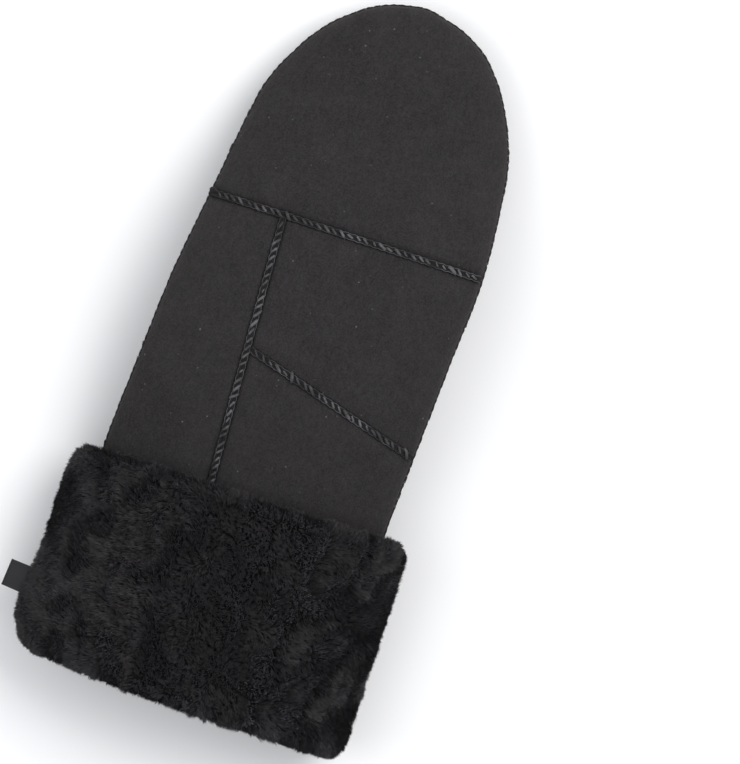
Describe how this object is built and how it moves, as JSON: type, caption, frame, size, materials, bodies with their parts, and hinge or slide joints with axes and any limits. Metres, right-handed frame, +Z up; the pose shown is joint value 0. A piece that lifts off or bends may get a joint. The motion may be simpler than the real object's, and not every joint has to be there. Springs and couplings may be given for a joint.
{
  "type": "shearling mitten",
  "caption": "Left-hand suede mitten with a raised-seam panelled back, wool lining, thumb pouch under the palm and a deep turned-up wool cuff.",
  "frame": {"origin": "middle of the flat where the underside of the cuff rests, on the surface that the mitten lies on", "axes": "+Y from the cuff to the fingertips, +X across the hand to the thumb's side, +Z up through the back of the hand"},
  "size_m": [0.1577, 0.3146, 0.0534],
  "materials": {
    "suede": "napped suede",
    "seam": "stitched suede edge",
    "wool": "sheared wool pile",
    "tape": "woven tape"
  },
  "bodies": {
    "root": {"finger_panel": "suede", "side_panel": "suede", "back_panel": "suede", "wrist_panel": "suede", "palm_panel": "suede", "thumb": "suede", "thumb_lining": "wool", "thumb_seam": "seam", "edge_seam": "seam", "cross_seam": "seam", "lengthwise_seam": "seam", "diagonal_seam": "seam", "back_lining": "wool", "heel_lining": "wool", "palm_lining": "wool", "finger_lining": "wool", "turned_cuff": "wool", "label": "tape"}
  },
  "joints": []
}
